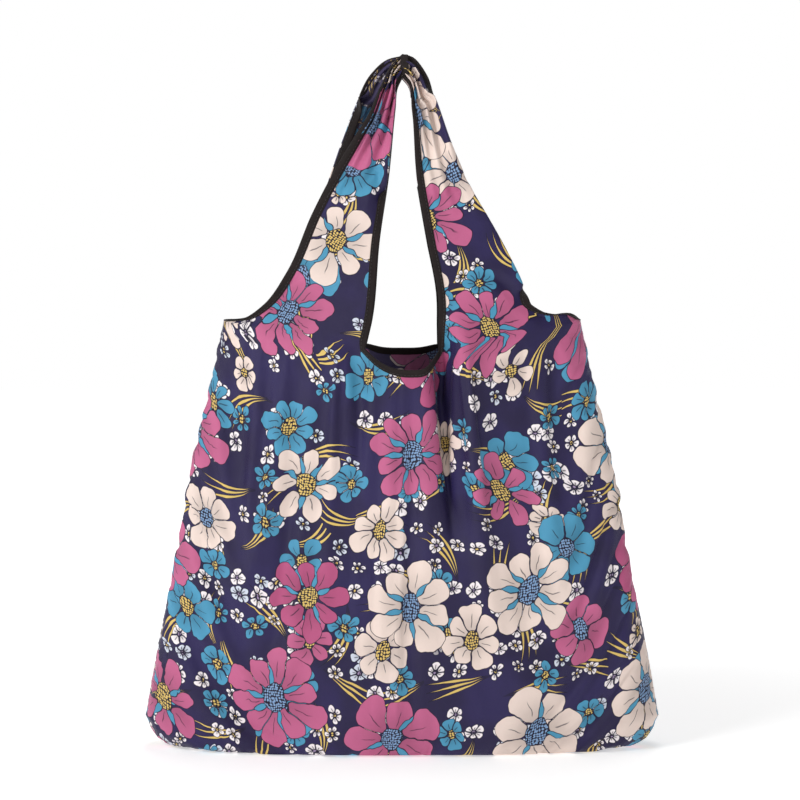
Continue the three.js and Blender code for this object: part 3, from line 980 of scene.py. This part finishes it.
def printed(name, inside=False):
    """Printed polyester: satiny outside, and dull and paler inside where the print shows through."""
    material, tree, shader = new_material(name)
    place = cut_place(tree)
    print_colour = cloth_print(place)
    if inside:
        print_colour = mix(0.38, print_colour, HAZE)
    fade = noise(place, 0.11, 3.0) * 0.16 + 0.92
    put(shader.inputs["Base Color"], mix(1.0, print_colour, fade, "MULTIPLY"))
    roughness = noise(place, 30 * MM, 3.0) * 0.16 + (0.55 if inside else 0.38)
    put(shader.inputs["Roughness"], roughness)
    finish(shader, 0.06, 0.35, 0.27)
    across, up, _ = place.parts()
    weave = ridged(across, 0.7 * MM) * ridged(up, 0.7 * MM)
    crinkle = noise(place, 9 * MM, 3.0, 0.55) * 0.7 + weave * 0.10
    bumped(shader, crinkle, 0.5 * MM)
    return material


def grosgrain(name, code, rough=0.62, rib=0.9 * MM):
    """Ribbed tape: fine ridges across its length, with painted highlights on their crests and painted shade
    between them.
    """
    material, tree, shader = new_material(name)
    place = cut_place(tree)
    ridges = ridged(place.parts()[0], rib)
    wear = noise(place, 14 * MM, 4.0)
    # Random wear, plus a painted highlight on the rib crests and painted shade in the grooves between them.
    wear_and_rib_shading = wear.step(0.35, 0.8) * 0.7 + ridges * 0.12
    put(shader.inputs["Base Color"], mix(wear_and_rib_shading, colour(code), paler(code, 1.6, 0.001)))
    put(shader.inputs["Roughness"], wear * 0.2 + (rough - 0.1))
    finish(shader, 0.06, 0.5, 0.24)
    bumped(shader, ridges * 0.5 + noise(place, 1.4 * MM) * 0.4, 0.18 * MM)
    return material


def spun_thread(name, code):
    material, tree, shader = new_material(name)
    spot = Field(add_node(tree, "TexCoord", {}), "Object")
    grain = Field(add_node(tree, "TexNoise", {"Vector": spot, "Scale": 1600}))
    put(shader.inputs["Base Color"], mix(grain, colour(code), paler(code, 1.6, 0.01)))
    shader.inputs["Roughness"].default_value = 0.5
    bumped(shader, grain, 0.06 * MM)
    return material


# ---- Pouch and loop ----
def pouch_layer(name, node, side, billow, material, print_shift):
    """One layer of the pouch, a little slack, with its place on the flat cut cloth."""
    low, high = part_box(node)
    columns, rows = 61, 51
    across, up = np.meshgrid(np.linspace(-1, 1, columns), np.linspace(0, 1, rows))
    x = (low.x + high.x) / 2 + across * (high.x - low.x) / 2
    z = low.z + up * (high.z - low.z)
    free = (1 - across**2) * np.sin(np.pi * up) ** 0.7
    crease = np.sin(x / (11 * MM) + 2.2 * np.sin(z / (23 * MM))) * np.sin(z / (17 * MM) + 1.4)
    y = (low.y + high.y) / 2 + side * billow * free * (0.8 + 0.35 * crease)
    corner = 1 - 0.012 * (np.abs(across) ** 8) * (1 - up) ** 8
    grid = np.stack([x * corner, y, z], axis=2)
    places = (flatten(grid, columns // 2) + np.array(print_shift)).reshape(-1, 2)
    piece = thin_piece(name, grid, places, material, CLOTH, -1)
    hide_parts(node)
    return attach(piece, "pouch")


def flat_tape(name, node, material, body, lean=0.0):
    """A straight sewn tape filling a CAD node's box, with slightly uneven edges."""
    low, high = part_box(node)
    columns, rows = 60, 7
    across, up = np.meshgrid(np.linspace(0, 1, columns), np.linspace(0, 1, rows))
    x = low.x + across * (high.x - low.x)
    z = low.z + up * (high.z - low.z) + 0.25 * MM * np.sin(x / (6 * MM)) * (np.abs(up - 0.5) > 0.4)
    y = (low.y + high.y) / 2 + lean * (up - 0.5) * (high.y - low.y)
    y = y + 0.25 * MM * np.sin(x / (3.7 * MM)) * np.sin(np.pi * up)
    grid = np.stack([x, y, z], axis=2)
    places = np.stack([x, z], axis=2).reshape(-1, 2)
    piece = thin_piece(name, grid, places, material, 0.9 * MM)
    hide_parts(node)
    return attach(piece, body)


def ribbon_loop(material):
    """A narrow satin ribbon folded into a loop at the top of the pouch's side, and its length."""
    low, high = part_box("hang_loop")
    middle = (low + high) / 2
    half_wide = (high.x - low.x) / 2 - 0.4 * MM
    half_high = (high.z - low.z) / 2 - 0.4 * MM
    turn = np.linspace(0, 2 * np.pi, 90)
    squeeze = 0.62 + 0.38 * np.sin(turn / 2) ** 1.5
    x = middle.x + half_wide * np.sin(turn) * squeeze
    line = np.stack([x, middle.z + half_high * np.cos(turn)], axis=1)
    across = np.linspace(-0.5, 0.5, 6) * RIBBON_WIDTH
    grid = np.array([[[x, middle.y + a, z] for a in across] for x, z in line])
    run = run_length(line)
    piece = thin_piece("hang_ribbon", grid, flat_places(run, across), material, 0.6 * MM)
    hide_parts("hang_loop")
    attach(piece, "hang_loop")
    return piece, float(run[-1])


# ---- Set and camera ----
LIGHTS = [
    ("key", (-2.0, -1.9, 1.8), 1.2, 50),
    ("fill", (1.6, -2.2, 0.8), 1.6, 2),
    ("top", (0.1, 0.5, 2.2), 1.2, 13),
]
LIGHT_AIM = Vector((0, 0, 0.3))
CAMERA_AIM = Vector((-0.002, 0, 0.331))
CAMERA_DISTANCE = 2.2
CAMERA_LIFT = math.radians(3.5)
CAMERA_LENS = 104
FLOOR_REACH = 6.0
FLOOR_LEVEL = -1 * MM
WHITE_LIGHT = (1, 1, 1, 1)


def lit_floor():
    """A white paper floor that glows with painted light, weaker near the bag, which paints shade around the
    bag.
    """
    material, tree, shader = new_material("floor_paper")
    shader.inputs["Base Color"].default_value = (0.8, 0.8, 0.8, 1)
    shader.inputs["Roughness"].default_value = 0.9
    shader.inputs["Emission Color"].default_value = WHITE_LIGHT
    right, back, _ = Field(add_node(tree, "TexCoord", {}), "Object").parts()
    # Painted light: the floor glows by itself, less near the bag, which paints shade around the bag.
    far = (right * right + back * back).apply("SQRT").step(0.28, 1.2)
    put(shader.inputs["Emission Strength"], far * 0.31 + 0.51)
    signs = ((-1, -1), (1, -1), (1, 1), (-1, 1))
    corners = [(x * FLOOR_REACH, y * FLOOR_REACH, FLOOR_LEVEL) for x, y in signs]
    new_object("floor", corners, [(0, 1, 2, 3)], [material])


def pale_world():
    """A white horizon under a dimmer ceiling."""
    world = bpy.data.worlds.new("studio")
    bpy.context.scene.world = world
    world.use_nodes = True
    tree = world.node_tree
    height = Field(add_node(tree, "TexCoord", {}), "Generated").parts()[2].apply("ABSOLUTE")
    background = next(n for n in tree.nodes if n.type == "BACKGROUND")
    background.inputs["Color"].default_value = WHITE_LIGHT
    put(background.inputs["Strength"], height.step(0.30, 0.16) * 0.78 + 0.22)


def place_facing(name, data, place, aim):
    """Puts a light or a camera at a place, looking at aim."""
    obj = bpy.data.objects.new(name, data)
    obj.location = place
    obj.rotation_euler = (aim - Vector(place)).to_track_quat("-Z", "Y").to_euler()
    bpy.context.scene.collection.objects.link(obj)
    return obj


def area_light(name, place, size, power):
    light = bpy.data.lights.new(name, "AREA")
    light.shape = "DISK"
    light.size = size
    light.energy = power
    place_facing(name, light, place, LIGHT_AIM)


def look_from_front():
    camera = bpy.data.cameras.new("camera")
    camera.lens = CAMERA_LENS
    camera.sensor_width = 36
    place = CAMERA_AIM + CAMERA_DISTANCE * Vector((0, -math.cos(CAMERA_LIFT), math.sin(CAMERA_LIFT)))
    bpy.context.scene.camera = place_facing("camera", camera, place, CAMERA_AIM)


# ---- The whole bag ----
def build_bag(outside, inside, tape, seam, black_thread):
    """Both faces with their tapes and stitches, and the seam tapes inside."""
    front, back = body_grid(-1), body_grid(1)
    back[0] = front[0]
    back[:, 0] = front[:, 0]
    back[:, -1] = front[:, -1]
    front, back = settle_cloth(front, back)
    for face, side, body in (("front", -1, front), ("back", 1, back)):
        straps = [strap_grid(side, hand, body) for hand in (-1, 1)]
        cloth, size, area = make_cloth(f"{face}_cloth", side, body, straps, [outside, inside])
        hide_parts(f"{face}_body_panel", f"{face}_left_strap", f"{face}_right_strap")
        bind_face(face, side, body, straps, cloth, tape, black_thread)
        top_sleeve(face, tape)
    for hand, word in ((-1, "left"), (1, "right")):
        path = front[BASE_ROWS + CORNER_ROWS:, 0 if hand < 0 else -1] - [hand * 1.5 * MM, 0, 0]
        fin(f"{word}_seam_tape", f"{word}_seam_binding", path, (-hand, 0, 0), seam)
    fin("base_seam_tape", "base_seam_binding", front[0] + [0, 0, 1.0 * MM], (0, 0, 1), seam)


def build_pouch(outside, seam, satin):
    """The storage pouch with its hem, tab and ribbon loop."""
    layers = (("back", 1, 0.2 * MM, (0.62, 0.31)), ("front", -1, 1.6 * MM, (0.62, 0.55)))
    for word, side, billow, print_shift in layers:
        layer = pouch_layer(f"pouch_{word}_cloth", f"pouch_{word}_layer", side, billow, outside, print_shift)
    flat_tape("pouch_hem_tape", "pouch_hem", seam, "pouch")
    flat_tape("pouch_hanger", "pouch_tab", seam, "bag", lean=1.0)
    ribbon, length = ribbon_loop(satin)


outside = printed("printed_cloth_outside")
inside = printed("printed_cloth_inside", inside=True)
tape = grosgrain("edge_tape", "180f0e")
seam = grosgrain("seam_tape", "262026")
satin = grosgrain("satin_ribbon", "1d1a20", rough=0.34, rib=0.5 * MM)
build_bag(outside, inside, tape, seam, spun_thread("black_thread", "1a1618"))
build_pouch(outside, seam, satin)
lit_floor()
pale_world()
for light in LIGHTS:
    area_light(*light)
look_from_front()
bpy.context.scene.view_settings.view_transform = "Standard"
